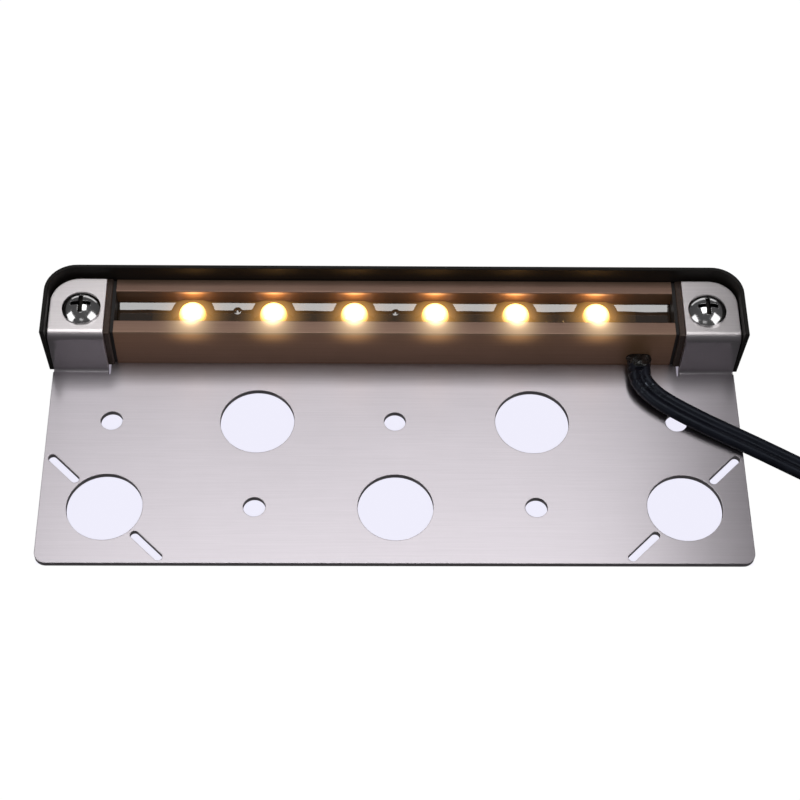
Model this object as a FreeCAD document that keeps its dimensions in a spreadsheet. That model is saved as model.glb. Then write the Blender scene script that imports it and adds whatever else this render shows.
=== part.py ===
"""Seven-inch hardscape light bar on its stainless mounting plate, lying LED side up.

Row frame: +X along the bar, +Y from the plate's free edge towards the hood, +Z up.
The origin is at the middle of the underside of the lamp without its lead. Millimetres.
"""
import FreeCAD
import Part
import Sketcher
import math
import os

Vector = FreeCAD.Vector
UP = Vector(0, 0, 1)

# ------------------------------------------------------------------ driving dimensions
SIZES = [
    ("overall_deep", 77.3, "free edge of the plate to the back of the hood"),
    ("plate_wide", 177.8, "mounting plate along the bar, 7 in"),
    ("sheet_thick", 1.5, "stainless sheet"),
    ("plate_corner", 3.0, "corner radius of the plate's free edge"),
    ("ear_setback", 57.0, "free edge to the front face of the ears"),
    ("ear_inner", 74.6, "centre line to the inner edge of an ear"),
    ("ear_outer", 88.7, "centre line to the outer edge of an ear"),
    ("ear_high", 16.9, "underside of the plate to the top of the ears"),
    ("ear_run", 18.05, "length of an ear's top flange with its bend"),
    ("ear_corner", 7.3, "plan radius of a flange's outer rear corner"),
    ("foot_bend", 0.8, "inner radius of the bend at an ear's foot"),
    ("head_bend", 0.6, "inner radius of the bend at an ear's top"),
    ("relief_wide", 0.7, "slit beside each ear's foot"),
    ("relief_run", 0.6, "how far the slit runs ahead of the ear's bend"),
    ("tongue_lap", 1.2, "how far the plate reaches under the bar"),
    ("row_setback", 15.9, "free edge to the front row of holes"),
    ("row_pitch", 25.4, "front row to back row of holes, 1 in"),
    ("outer_pitch", 72.6, "centre line to the outer holes"),
    ("inner_pitch", 35.3, "centre line to the inner holes"),
    ("big_hole", 9.5, "radius of the mortar holes"),
    ("small_hole", 2.8, "radius of the screw holes"),
    ("slot_near", 11.3, "mortar hole centre to the slot's near end centre"),
    ("slot_far", 20.0, "mortar hole centre to the slot's far end centre"),
    ("slot_half", 1.1, "half the width of a slanted slot"),
    ("hood_long", 180.2, "hood along the bar"),
    ("hood_high", 20.2, "hood, underside to rim"),
    ("hood_wall", 1.1, "hood wall"),
    ("hood_floor", 1.5, "hood floor, level with the plate"),
    ("hood_corner", 8.0, "outer plan radius of the hood's corners"),
    ("hood_reach", 21.4, "hood side wall at the rim, front to back"),
    ("hood_rake", 2.3, "how far the side wall's edge leans back at its foot"),
    ("rim_round", 0.35, "rounding of the hood's rim"),
    ("fit_gap", 0.1, "sliding clearance between the bar, caps and hood"),
    ("bar_long", 144.4, "light bar extrusion"),
    ("bar_deep", 17.0, "extrusion, front to back"),
    ("bar_top", 15.4, "top of the extrusion's rails"),
    ("bar_round", 0.35, "rounding of the rails"),
    ("rail_wide", 4.0, "each rail beside the lamp channel"),
    ("channel_floor", 8.0, "height of the channel's floor"),
    ("cavity_front", 1.65, "front wall of the driver cavity"),
    ("cavity_low", 3.0, "floor of the driver cavity"),
    ("cavity_high", 6.8, "roof of the driver cavity"),
    ("gasket_thick", 0.9, "end gasket"),
    ("gasket_inset", 0.3, "gasket edge below the extrusion's faces"),
    ("cap_proud", 0.4, "end cap ahead of the extrusion's front face"),
    ("cap_round", 0.4, "rounding of the end cap's edges"),
    ("cap_corner", 6.7, "plan radius of a cap's outer rear corner"),
    ("spigot_deep", 4.0, "cap spigot inside the extrusion"),
    ("spigot_gap", 0.4, "cap spigot to the cavity's walls"),
    ("screw_place", 80.5, "centre line to the clamp screws"),
    ("screw_back", 10.6, "clamp screw ahead of the extrusion's back"),
    ("screw_shank", 2.5, "M5 thread radius"),
    ("screw_hole", 2.75, "clearance hole radius"),
    ("screw_long", 13.0, "screw under its head"),
    ("head_wide", 4.95, "screw head radius"),
    ("head_rim", 0.6, "straight edge of the screw head"),
    ("head_dome", 2.2, "dome above the screw head's edge"),
    ("recess_long", 5.2, "cross recess, tip to tip"),
    ("recess_wide", 1.15, "cross recess wing"),
    ("recess_deep", 1.9, "cross recess depth"),
    ("boss_outer", 4.4, "hood boss radius"),
    ("boss_top", 8.5, "top of the hood's bosses"),
    ("tape_thick", 0.2, "thermal tape"),
    ("board_thick", 1.0, "circuit boards"),
    ("board_wide", 8.6, "LED board, front to back"),
    ("board_long", 143.0, "LED board"),
    ("led_pitch", 21.0, "LED spacing"),
    ("led_side", 5.0, "LED package"),
    ("led_high", 1.2, "LED package height"),
    ("led_cup", 2.0, "radius of the cup in an LED package"),
    ("led_cup_deep", 0.6, "depth of the cup"),
    ("led_dome", 2.4, "radius of an LED's dome"),
    ("resin_top", 10.6, "level of the potting resin"),
    ("resin_bump", 3.2, "resin bump over an LED"),
    ("bump_root", 0.5, "how far a resin bump reaches below the level"),
    ("resin_bump_wide", 4.3, "radius of a resin bump at its foot"),
    ("pad_thick", 0.4, "insulating pad under the driver board"),
    ("driver_start", 14.0, "driver board's left end"),
    ("driver_end", 54.0, "driver board's right end"),
    ("driver_wide", 12.6, "driver board, front to back"),
    ("lead_place", 40.5, "first of the two leads to the LED board"),
    ("lead_gap", 3.0, "spacing of the two leads"),
    ("lead_core", 0.45, "lead radius"),
    ("solder_high", 0.7, "solder fillet above the LED board"),
    ("solder_wide", 1.12, "solder fillet's radius on the LED board"),
    ("lead_hole", 0.8, "radius of the holes for the leads"),
    ("cord_place", 63.7, "centre line to the cord's exit"),
    ("cord_level", 4.9, "height of the cord's exit"),
    ("cord_wide", 5.8, "flat twin cord"),
    ("cord_thick", 2.8, "flat twin cord"),
    ("cord_inside", 4.65, "sheath behind the extrusion's front face"),
    ("seal_long", 3.85, "sealant bead along the cord"),
    ("seal_wide", 6.9, "sealant bead at the extrusion"),
    ("seal_high", 4.6, "sealant bead at the extrusion"),
    ("seal_taper", 6.0, "taper of the sealant bead, degrees"),
    ("sleeve_wall", 0.4, "grommet sleeve around the cord"),
    ("grommet_flange", 0.6, "grommet flange inside the cavity"),
    ("core_radius", 0.5, "conductor insulation inside the cavity"),
    ("core_reach_near", 4.5, "sheath's end to the near conductor's turn"),
    ("core_reach_far", 7.2, "sheath's end to the far conductor's turn"),
    ("core_end", 3.0, "conductors' ends beyond the rectifier's middle"),
    ("coil_x", 152.0, "centre of the stored coil"),
    ("coil_y", 6.3, "centre of the stored coil"),
    ("coil_inner", 22.7, "inner radius of the coil"),
    ("coil_outer", 41.5, "outer radius of the coil"),
    ("coil_base", 0.45, "underside of the coil, on its tie"),
    ("tie_wide", 4.0, "tie strap"),
    ("tie_thick", 0.4, "tie strap"),
    ("tie_angle", -30.0, "where the tie holds the coil, degrees"),
    ("end_core", 1.35, "split conductor's insulation radius"),
    ("end_strand", 0.6, "stripped strands' radius"),
    ("end_bare", 8.0, "stripped length"),
    ("overshoot", 1.0, "how far a cutting shape runs past what it cuts"),
]

# Parts on the driver board: place along the bar, place from the cavity's middle, length, width, height.
DRIVER_PARTS = {
    "bridge_rectifier": (47.4, 3.0, 4.7, 3.9, 1.8),
    "surge_diode": (47.4, -3.6, 4.3, 2.6, 2.0),
    "driver_chip": (34.0, 0.0, 4.9, 3.9, 1.5),
    "inductor": (26.0, 0.0, 4.8, 4.8, 2.2),
    "smoothing_capacitor": (19.5, 2.4, 3.2, 2.5, 1.6),
    "sense_resistor": (19.5, -2.8, 3.2, 1.6, 0.6),
}
for part, numbers in DRIVER_PARTS.items():
    for way, number in zip(("x", "y", "long", "wide", "high"), numbers):
        SIZES.append((f"{part}_{way}", number, f"{part}, {way}"))

doc = FreeCAD.newDocument("hardscape_light_bar")
sheet = doc.addObject("Spreadsheet::Sheet", "dims")
for line, (alias, number, meaning) in enumerate(SIZES, start=1):
    sheet.set(f"A{line}", meaning)
    sheet.set(f"B{line}", str(number))
    sheet.setAlias(f"B{line}", alias)
doc.recompute()

# Formulas over the sheet that several pieces share.
FRONT = "(-dims.overall_deep / 2)"
BACK = "(dims.overall_deep / 2)"
EAR_FACE = f"({FRONT} + dims.ear_setback)"
ROW_FRONT = f"({FRONT} + dims.row_setback)"
ROW_BACK = f"({ROW_FRONT} + dims.row_pitch)"
HOOD_INSIDE = f"({BACK} - dims.hood_wall)"
BAR_BACK = f"({HOOD_INSIDE} - dims.fit_gap)"
BAR_FRONT = f"({BAR_BACK} - dims.bar_deep)"
BAR_END = "(dims.bar_long / 2)"
CHANNEL_FRONT = f"({BAR_FRONT} + dims.rail_wide)"
CHANNEL_BACK = f"({BAR_BACK} - dims.rail_wide)"
CHANNEL_MIDDLE = f"(({CHANNEL_FRONT} + {CHANNEL_BACK}) / 2)"
CAVITY_FRONT = f"({BAR_FRONT} + dims.cavity_front)"
CAVITY_BACK = f"({BAR_BACK} - dims.cavity_front)"
SPIGOT_FRONT = f"({CAVITY_FRONT} + dims.spigot_gap)"
SPIGOT_BACK = f"({CAVITY_BACK} - dims.spigot_gap)"
SPIGOT_LOW = "(dims.cavity_low + dims.spigot_gap)"
SPIGOT_HIGH = "(dims.cavity_high - dims.spigot_gap)"
TONGUE_END = f"({BAR_FRONT} + dims.tongue_lap)"
HOOD_FLOOR_FRONT = f"({TONGUE_END} + dims.fit_gap)"
CAP_START = f"({BAR_END} + dims.gasket_thick)"
CAP_END = "(dims.hood_long / 2 - dims.hood_wall - 2 * dims.fit_gap)"
CAP_FRONT = f"({BAR_FRONT} - dims.cap_proud)"
SCREW_LINE = f"({BAR_BACK} - dims.screw_back)"
BOARD_LOW = "(dims.channel_floor + dims.tape_thick)"
BOARD_TOP = f"({BOARD_LOW} + dims.board_thick)"
LED_TOP = f"({BOARD_TOP} + dims.led_high)"
DRIVER_LOW = "(dims.cavity_low + dims.pad_thick)"
DRIVER_TOP = f"({DRIVER_LOW} + dims.board_thick)"
CAVITY_MIDDLE = f"(({CAVITY_FRONT} + {CAVITY_BACK}) / 2)"
CORD_INSIDE = f"({BAR_FRONT} + dims.cord_inside)"
CORD_OUTSIDE = f"({BAR_FRONT} - dims.seal_long)"
OVER = "dims.overshoot"
COIL_CUT = (f"-{OVER}", "2 * dims.cord_wide")

LEAD_PLACES = ("dims.lead_place", "(dims.lead_place + dims.lead_gap)")
LED_COUNT = 6
LED_NUMBERS = range(1, LED_COUNT + 1)
# Two coordinates closer than this, in mm, are the same.
SAME = 1e-4
# How much of the shorter of two runs the arc between them may take up.
TRIM_SHARE = 0.45

# The lead's route outside the bead, along its middle: over the plate, off its edge, to the coil.
CORD_ROUTE = [
    (63.7, 16.6, 4.9),
    (63.7, 13.8, 4.9),
    (65.2, 11.1, 4.7),
    (68.3, 7.9, 4.3),
    (73.8, 4.2, 4.05),
    (81.6, -0.35, 3.7),
    (91.2, -5.3, 3.15),
    (102.3, -11.3, 2.3),
    (112.8, -17.5, 2.4),
    (122.8, -23.6, 3.05),
    (131.5, -27.7, 3.35),
]
# The two cores inside the coil, from the middle of the coil.
END_CORES = [
    [(3.5, 23.2, 1.85), (-4.5, 19.5, 1.8), (-10.9, 13.0, 1.5), (-13.2, 5.0, 1.45), (-12.0, -2.0, 1.45)],
    [(3.5, 23.2, 4.85), (-3.8, 19.0, 4.7), (-7.4, 12.2, 2.7), (-7.0, 5.2, 1.5), (-5.4, -1.0, 1.45)],
]


def value(formula):
    """The number that a formula over the sheet stands for."""
    return float(sheet.evalExpression(str(formula)))


def bind(thing, **formulas):
    """Tie an object's properties to formulas over the sheet."""
    for name, formula in formulas.items():
        thing.setExpression(name, formula)


def place(thing, x="0", y="0", z="0"):
    for axis, formula in zip("xyz", (x, y, z)):
        thing.setExpression(f"Placement.Base.{axis}", formula)


# ------------------------------------------------------------------ solids from primitives
def block(name, x, y, z):
    """A box between a low and a high formula along each axis."""
    box = doc.addObject("Part::Box", name)
    spans = [f"({high}) - ({low})" for low, high in (x, y, z)]
    bind(box, Length=spans[0], Width=spans[1], Height=spans[2])
    place(box, x[0], y[0], z[0])
    return box


def rod(name, radius, x, y, z):
    """An upright cylinder between a low and a high level."""
    cylinder = doc.addObject("Part::Cylinder", name)
    bind(cylinder, Radius=radius, Height=f"({z[1]}) - ({z[0]})")
    place(cylinder, x, y, z[0])
    return cylinder


def ball(name, radius, x, y, z):
    sphere = doc.addObject("Part::Sphere", name)
    bind(sphere, Radius=radius)
    place(sphere, x, y, z)
    return sphere


def joined(name, *shapes):
    fusion = doc.addObject("Part::MultiFuse", name)
    fusion.Shapes = list(shapes)
    fusion.Refine = True
    return fusion


def shared(name, first, second):
    common = doc.addObject("Part::Common", name)
    common.Base = first
    common.Tool = second
    return common


def less(name, base, *tools):
    """The base with every tool taken away."""
    difference = doc.addObject("Part::Cut", name)
    difference.Base = base
    difference.Tool = tools[0] if len(tools) == 1 else joined(f"{name}_hollows", *tools)
    return difference


# ------------------------------------------------------------------ sketched bodies
def new_body(name):
    return doc.addObject("PartDesign::Body", name)


def sketch_on(body, role, name, offset="0"):
    """A sketch on one of the body's own origin planes, moved along its normal."""
    plane = next(item for item in body.Origin.OriginFeatures if item.Role == role)
    sketch = body.newObject("Sketcher::SketchObject", name)
    sketch.AttachmentSupport = (plane, [""])
    sketch.MapMode = "FlatFace"
    sketch.setExpression("AttachmentOffset.Base.z", offset)
    return sketch


def constrain(sketch, *constraint, formula):
    index = sketch.addConstraint(Sketcher.Constraint(*constraint, value(formula)))
    sketch.setExpression(f"Constraints[{index}]", formula)


def pin(sketch, item, end, u, v):
    """Hold a point of the sketch at two formulas from its origin."""
    constrain(sketch, "DistanceX", -1, 1, item, end, formula=u)
    constrain(sketch, "DistanceY", -1, 1, item, end, formula=v)


def arc_between(centre, radius, start, end):
    """A counter-clockwise arc of a sketch, from one point to another."""
    angles = [math.atan2(spot.y - centre.y, spot.x - centre.x) for spot in (start, end)]
    return Part.ArcOfCircle(Part.Circle(centre, UP, radius), *angles)


def outline(sketch, corners):
    """A closed outline; a corner (u, v, radius) with a radius turns square, as an arc."""
    spots = [Vector(value(u), value(v), 0) for u, v, radius in corners]
    before, after, ways = [], [], []
    for index, (u, v, radius) in enumerate(corners):
        way_in = (spots[index] - spots[index - 1]).normalize()
        way_out = (spots[(index + 1) % len(spots)] - spots[index]).normalize()
        ways.append((way_in, way_out))
        if radius == "0":
            before.append((u, v))
            after.append((u, v))
            continue
        before.append((f"{u} - {radius} * ({way_in.x:.0f})", f"{v} - {radius} * ({way_in.y:.0f})"))
        after.append((f"{u} + {radius} * ({way_out.x:.0f})", f"{v} + {radius} * ({way_out.y:.0f})"))
    count = len(corners)
    first = sketch.GeometryCount
    for index in range(count):
        ends = [Vector(value(u), value(v), 0) for u, v in (after[index], before[(index + 1) % count])]
        sketch.addGeometry(Part.LineSegment(*ends), False)
    for index, (u, v, radius) in enumerate(corners):
        leaving = first + index
        arriving = first + (index - 1) % count
        pin(sketch, leaving, 1, *after[index])
        if radius == "0":
            sketch.addConstraint(Sketcher.Constraint("Coincident", arriving, 2, leaving, 1))
            continue
        pin(sketch, arriving, 2, *before[index])
        way_in, way_out = ways[index]
        size = value(radius)
        start = spots[index] - way_in * size
        end = spots[index] + way_out * size
        centre = start + way_out * size
        left_turn = way_in.cross(way_out).z > 0
        spans = (start, end) if left_turn else (end, start)
        arc = sketch.addGeometry(arc_between(centre, size, *spans), False)
        arc_in, arc_out = (1, 2) if left_turn else (2, 1)
        sketch.addConstraint(Sketcher.Constraint("Coincident", arc, arc_in, arriving, 2))
        sketch.addConstraint(Sketcher.Constraint("Coincident", arc, arc_out, leaving, 1))
        constrain(sketch, "Radius", arc, formula=radius)


def hole(sketch, u, v, radius):
    circle = Part.Circle(Vector(value(u), value(v), 0), UP, value(radius))
    item = sketch.addGeometry(circle, False)
    pin(sketch, item, 3, u, v)
    constrain(sketch, "Radius", item, formula=radius)


def slot(sketch, near, far, radius):
    """A round-ended slot between two end centres."""
    start, end = [Vector(value(u), value(v), 0) for u, v in (near, far)]
    size = value(radius)
    side = UP.cross(end - start).normalize() * size
    upper = sketch.addGeometry(Part.LineSegment(start + side, end + side), False)
    far_arc = sketch.addGeometry(arc_between(end, size, end - side, end + side), False)
    lower = sketch.addGeometry(Part.LineSegment(end - side, start - side), False)
    near_arc = sketch.addGeometry(arc_between(start, size, start + side, start - side), False)
    pin(sketch, far_arc, 3, *far)
    pin(sketch, near_arc, 3, *near)
    sketch.addConstraint(Sketcher.Constraint("Tangent", upper, 2, far_arc, 2))
    sketch.addConstraint(Sketcher.Constraint("Tangent", far_arc, 1, lower, 1))
    sketch.addConstraint(Sketcher.Constraint("Tangent", lower, 2, near_arc, 2))
    sketch.addConstraint(Sketcher.Constraint("Tangent", near_arc, 1, upper, 1))
    constrain(sketch, "Radius", far_arc, formula=radius)
    sketch.addConstraint(Sketcher.Constraint("Equal", far_arc, near_arc))


def pad(body, name, sketch, length, taper="0"):
    feature = body.newObject("PartDesign::Pad", name)
    feature.Profile = sketch
    bind(feature, Length=length, TaperAngle=taper)
    doc.recompute()
    return feature


def pocket(body, name, sketch, depth=None):
    """Cut against the sketch's normal to a depth, or right through both ways."""
    whole = body.Shape.Volume
    feature = body.newObject("PartDesign::Pocket", name)
    feature.Profile = sketch
    if depth is None:
        feature.Type = "ThroughAll"
        feature.Midplane = True
    else:
        bind(feature, Length=depth)
    doc.recompute()
    if body.Shape.Volume > whole - SAME:
        raise RuntimeError(f"{name} cuts nothing")
    return feature


def rounded_edges(body, name, radius, chosen):
    """Round the edges of the body that the test picks."""
    base = body.Tip
    names = [f"Edge{number}" for number, edge in enumerate(base.Shape.Edges, start=1) if chosen(edge)]
    if not names:
        raise RuntimeError(f"{name} finds no edge")
    feature = body.newObject("PartDesign::Fillet", name)
    feature.Base = (base, names)
    bind(feature, Radius=radius)
    doc.recompute()


def level_edge(edge, height):
    box = edge.BoundBox
    return abs(box.ZMin - height) < SAME and abs(box.ZMax - height) < SAME


# ------------------------------------------------------------------ mounting plate
def mounting_plate():
    """Stainless plate with two ears folded up and back over the end caps."""
    body = new_body("mounting_plate")
    half = "(dims.plate_wide / 2)"
    inner = "dims.ear_inner"
    tongue = "(dims.ear_inner - dims.relief_wide)"
    bend_line = f"({EAR_FACE} - dims.foot_bend)"
    relief_line = f"({bend_line} - dims.relief_run)"
    flat = sketch_on(body, "XY_Plane", "plate_outline")
    outline(flat, [
        (f"-{half}", FRONT, "dims.plate_corner"),
        (half, FRONT, "dims.plate_corner"),
        (half, bend_line, "0"),
        (inner, bend_line, "0"),
        (inner, relief_line, "0"),
        (tongue, relief_line, "0"),
        (tongue, TONGUE_END, "0"),
        (f"-{tongue}", TONGUE_END, "0"),
        (f"-{tongue}", relief_line, "0"),
        (f"-{inner}", relief_line, "0"),
        (f"-{inner}", bend_line, "0"),
        (f"-{half}", bend_line, "0"),
    ])
    pad(body, "plate_sheet", flat, "dims.sheet_thick")
    for side, start in (("left", "-dims.ear_outer"), ("right", "dims.ear_inner")):
        profile = sketch_on(body, "YZ_Plane", f"ear_profile_{side}", start)
        back_face = f"({EAR_FACE} + dims.sheet_thick)"
        flange_end = f"({EAR_FACE} + dims.ear_run)"
        underside = "(dims.ear_high - dims.sheet_thick)"
        lap = f"({EAR_FACE} - 3 * dims.sheet_thick)"
        outline(profile, [
            (lap, "0", "0"),
            (back_face, "0", "(dims.foot_bend + dims.sheet_thick)"),
            (back_face, underside, "dims.head_bend"),
            (flange_end, underside, "0"),
            (flange_end, "dims.ear_high", "0"),
            (EAR_FACE, "dims.ear_high", "(dims.head_bend + dims.sheet_thick)"),
            (EAR_FACE, "dims.sheet_thick", "dims.foot_bend"),
            (lap, "dims.sheet_thick", "0"),
        ])
        pad(body, f"ear_{side}", profile, "dims.ear_outer - dims.ear_inner")
    outer, back = value("dims.ear_outer"), value(f"{EAR_FACE} + dims.ear_run")
    rounded_edges(body, "flange_corners", "dims.ear_corner", lambda edge: (
        edge.BoundBox.ZLength > SAME
        and abs(abs(edge.BoundBox.Center.x) - outer) < SAME
        and abs(edge.BoundBox.Center.y - back) < SAME
        and edge.BoundBox.YLength < SAME))
    holes = sketch_on(body, "XY_Plane", "plate_holes")
    for sign in ("-", ""):
        outer_x = f"({sign}dims.outer_pitch)"
        inner_x = f"({sign}dims.inner_pitch)"
        hole(holes, outer_x, ROW_FRONT, "dims.big_hole")
        hole(holes, inner_x, ROW_BACK, "dims.big_hole")
        hole(holes, outer_x, ROW_BACK, "dims.small_hole")
        hole(holes, inner_x, ROW_FRONT, "dims.small_hole")
        hole(holes, f"({sign}dims.screw_place)", SCREW_LINE, "dims.screw_hole")
        for outwards, along in ((sign, "+"), ("" if sign else "-", "-")):
            ends = [
                (f"{outer_x} + ({outwards}{reach}) * sqrt(0.5)", f"{ROW_FRONT} {along} {reach} * sqrt(0.5)")
                for reach in ("dims.slot_near", "dims.slot_far")
            ]
            slot(holes, *ends, "dims.slot_half")
    hole(holes, "0", ROW_FRONT, "dims.big_hole")
    hole(holes, "0", ROW_BACK, "dims.small_hole")
    pocket(body, "plate_holes_cut", holes)
    return body


# ------------------------------------------------------------------ hood
def hood():
    """Black shell behind, under and beside the bar, with two tapped bosses."""
    body = new_body("hood")
    half = "(dims.hood_long / 2)"
    half_in = "(dims.hood_long / 2 - dims.hood_wall)"
    lip = f"({BACK} - dims.hood_reach)"
    ahead = f"({lip} - {OVER})"
    outside = sketch_on(body, "XY_Plane", "hood_outline")
    outline(outside, [
        (f"-{half}", lip, "0"),
        (half, lip, "0"),
        (half, BACK, "dims.hood_corner"),
        (f"-{half}", BACK, "dims.hood_corner"),
    ])
    pad(body, "hood_block", outside, "dims.hood_high")
    inside = sketch_on(body, "XY_Plane", "hood_inside", "dims.hood_high")
    outline(inside, [
        (f"-{half_in}", ahead, "0"),
        (half_in, ahead, "0"),
        (half_in, HOOD_INSIDE, "(dims.hood_corner - dims.hood_wall)"),
        (f"-{half_in}", HOOD_INSIDE, "(dims.hood_corner - dims.hood_wall)"),
    ])
    pocket(body, "hood_hollow", inside, "dims.hood_high - dims.hood_floor")
    open_floor = sketch_on(body, "XY_Plane", "hood_open_floor")
    outline(open_floor, [
        (f"-{half_in}", ahead, "0"),
        (half_in, ahead, "0"),
        (half_in, HOOD_FLOOR_FRONT, "0"),
        (f"-{half_in}", HOOD_FLOOR_FRONT, "0"),
    ])
    pocket(body, "hood_floor_cut", open_floor)
    rake = sketch_on(body, "YZ_Plane", "hood_side_rake")
    outline(rake, [
        (ahead, f"-{OVER}", "0"),
        (f"({lip} + dims.hood_rake)", f"-{OVER}", "0"),
        (lip, "dims.hood_high", "0"),
        (ahead, "dims.hood_high", "0"),
    ])
    pocket(body, "hood_side_cut", rake)
    bosses = sketch_on(body, "XY_Plane", "boss_outlines")
    threads = sketch_on(body, "XY_Plane", "boss_threads", "dims.boss_top")
    for sign in ("-", ""):
        hole(bosses, f"({sign}dims.screw_place)", SCREW_LINE, "dims.boss_outer")
        hole(threads, f"({sign}dims.screw_place)", SCREW_LINE, "dims.screw_shank")
    pad(body, "bosses", bosses, "dims.boss_top")
    pocket(body, "boss_holes", threads, "dims.boss_top - dims.hood_floor")
    rim = value("dims.hood_high")
    rounded_edges(body, "hood_rim", "dims.rim_round", lambda edge: level_edge(edge, rim))
    return body


# ------------------------------------------------------------------ extruded light bar
def light_bar_body():
    """Bronze extrusion: lamp channel above, closed driver cavity below."""
    body = new_body("light_bar_body")
    section = sketch_on(body, "YZ_Plane", "bar_section", f"-{BAR_END}")
    low, top, floor = "dims.hood_floor", "dims.bar_top", "dims.channel_floor"
    edge = "dims.bar_round"
    outline(section, [
        (BAR_FRONT, low, edge),
        (BAR_BACK, low, edge),
        (BAR_BACK, top, edge),
        (CHANNEL_BACK, top, edge),
        (CHANNEL_BACK, floor, "0"),
        (CHANNEL_FRONT, floor, "0"),
        (CHANNEL_FRONT, top, edge),
        (BAR_FRONT, top, edge),
    ])
    outline(section, [
        (CAVITY_FRONT, "dims.cavity_low", edge),
        (CAVITY_BACK, "dims.cavity_low", edge),
        (CAVITY_BACK, "dims.cavity_high", edge),
        (CAVITY_FRONT, "dims.cavity_high", edge),
    ])
    pad(body, "bar_extrusion", section, "dims.bar_long")
    entry = sketch_on(body, "XZ_Plane", "cord_entry_outline", f"{OVER} - {BAR_FRONT}")
    cord_slot(entry, "(dims.cord_thick / 2 + dims.sleeve_wall)")
    pocket(body, "cord_entry_cut", entry, "2 * dims.cavity_front")
    leads = sketch_on(body, "XY_Plane", "lead_holes", "dims.channel_floor")
    for place_x in LEAD_PLACES:
        hole(leads, place_x, CHANNEL_MIDDLE, "dims.lead_hole")
    pocket(body, "lead_holes_cut", leads, "dims.channel_floor - dims.cavity_low")
    return body


def mirrored_span(sign, low, high):
    """The stretch from low to high on the +X side, or its mirror on the -X side."""
    return (f"-({high})", f"-({low})") if sign else (low, high)


def end_cap(side, sign):
    """Cap over the bar's end: spigot in the cavity, recess over the hood's boss."""
    body = new_body(f"end_cap_{side}")
    start, end = f"({sign}{CAP_START})", f"({sign}{CAP_END})"
    plan = sketch_on(body, "XY_Plane", f"cap_outline_{side}", "dims.hood_floor")
    outline(plan, [
        (start, CAP_FRONT, "0"),
        (end, CAP_FRONT, "0"),
        (end, BAR_BACK, "dims.cap_corner"),
        (start, BAR_BACK, "0"),
    ])
    pad(body, f"cap_block_{side}", plan, "dims.bar_top - dims.hood_floor")
    inner_face, front_face, top_face = value(start), value(CAP_FRONT), value("dims.bar_top")
    rounded_edges(body, f"cap_rounding_{side}", "dims.cap_round", lambda edge: (
        edge.BoundBox.ZMax > top_face - SAME and (
            abs(edge.BoundBox.Center.x - inner_face) < SAME
            or abs(edge.BoundBox.Center.y - front_face) < SAME)))
    spigot = sketch_on(body, "XY_Plane", f"spigot_outline_{side}", SPIGOT_LOW)
    inside = f"({sign}({BAR_END} - dims.spigot_deep))"
    root = f"({sign}({CAP_START} + dims.gasket_thick))"
    outline(spigot, [
        (inside, SPIGOT_FRONT, "0"),
        (root, SPIGOT_FRONT, "0"),
        (root, SPIGOT_BACK, "0"),
        (inside, SPIGOT_BACK, "0"),
    ])
    pad(body, f"cap_spigot_{side}", spigot, f"{SPIGOT_HIGH} - {SPIGOT_LOW}")
    clearance = sketch_on(body, "XY_Plane", f"cap_screw_hole_{side}")
    hole(clearance, f"({sign}dims.screw_place)", SCREW_LINE, "dims.screw_hole")
    pocket(body, f"cap_screw_cut_{side}", clearance)
    recess = sketch_on(body, "XY_Plane", f"boss_recess_{side}", "dims.boss_top + 2 * dims.fit_gap")
    hole(recess, f"({sign}dims.screw_place)", SCREW_LINE, "(dims.boss_outer + 2 * dims.fit_gap)")
    pocket(body, f"boss_recess_cut_{side}", recess, "dims.boss_top")
    return body


def end_gasket(side, sign):
    """Thin gasket between the extrusion and a cap, around the cap's spigot."""
    sheet_block = block(
        f"gasket_blank_{side}", mirrored_span(sign, BAR_END, CAP_START),
        (f"{BAR_FRONT} + dims.gasket_inset", f"{BAR_BACK} - dims.gasket_inset"),
        ("dims.hood_floor + dims.gasket_inset", "dims.bar_top - dims.gasket_inset"))
    window = block(
        f"gasket_window_{side}", mirrored_span(sign, f"{BAR_END} - {OVER}", f"{CAP_START} + {OVER}"),
        (SPIGOT_FRONT, SPIGOT_BACK), (SPIGOT_LOW, SPIGOT_HIGH))
    return less(f"end_gasket_{side}", sheet_block, window)


# ------------------------------------------------------------------ clamp screws
def bracket_screw(side, sign):
    """M5 dome-headed cross-recess screw through ear and cap into the hood's boss."""
    x, seat = f"{sign}dims.screw_place", "dims.ear_high"
    rim_top = f"({seat} + dims.head_rim)"
    top = f"({rim_top} + dims.head_dome)"
    curve = "((dims.head_wide ^ 2 + dims.head_dome ^ 2) / (2 * dims.head_dome))"
    dome = shared(
        f"screw_dome_{side}",
        ball(f"screw_ball_{side}", curve, x, SCREW_LINE, f"{top} - {curve}"),
        rod(f"screw_dome_limit_{side}", "dims.head_wide", x, SCREW_LINE, (rim_top, f"{top} + {OVER}")))
    rim = rod(f"screw_rim_{side}", "dims.head_wide", x, SCREW_LINE, (seat, rim_top))
    shank = rod(f"screw_shank_{side}", "dims.screw_shank", x, SCREW_LINE,
                (f"{seat} - dims.screw_long", f"{seat} + dims.head_rim / 2"))
    wings = []
    for name, long, wide in (("wide", "dims.recess_long", "dims.recess_wide"),
                             ("deep", "dims.recess_wide", "dims.recess_long")):
        wings.append(block(
            f"recess_{name}_{side}", (f"{x} - {long} / 2", f"{x} + {long} / 2"),
            (f"{SCREW_LINE} - {wide} / 2", f"{SCREW_LINE} + {wide} / 2"),
            (f"{top} - dims.recess_deep", f"{top} + {OVER}")))
    return less(f"bracket_screw_{side}", joined(f"screw_solid_{side}", shank, rim, dome), *wings)


# ------------------------------------------------------------------ lamp channel
def board_span(wide):
    return (f"{CHANNEL_MIDDLE} - {wide} / 2", f"{CHANNEL_MIDDLE} + {wide} / 2")


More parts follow.
